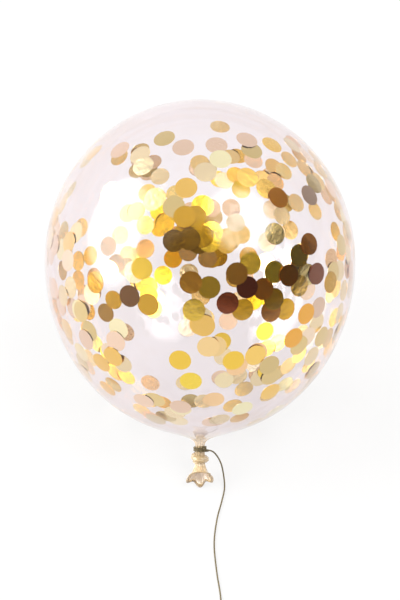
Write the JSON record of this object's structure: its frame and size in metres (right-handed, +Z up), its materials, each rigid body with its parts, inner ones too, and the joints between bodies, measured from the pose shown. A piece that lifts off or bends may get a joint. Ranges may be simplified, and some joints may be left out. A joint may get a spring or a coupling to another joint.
{
  "type": "confetti balloon",
  "caption": "Clear round latex balloon with metallic confetti sealed inside, knotted at its neck and tied with a thin string, lying loose on its side.",
  "frame": {"origin": "on the surface that the balloon lies on, at the bottom centre of the balloon's bounding box", "axes": "+Z up; the balloon's own axis leans 45.5 degrees from upright with the crown up and towards +Y, and the neck, knot and string down and towards -Y; +X is to the right of a viewer who looks along +Y"},
  "size_m": [0.29, 0.4764, 0.2994],
  "materials": {
    "latex": "clear stretched latex, glossy, slightly milky, with round metallic gold confetti inside",
    "string": "thin twisted cord, dull old gold"
  },
  "bodies": {
    "root": {"balloon": "latex", "string_tie": "string", "string": "string", "string_coil": "string"}
  },
  "joints": []
}
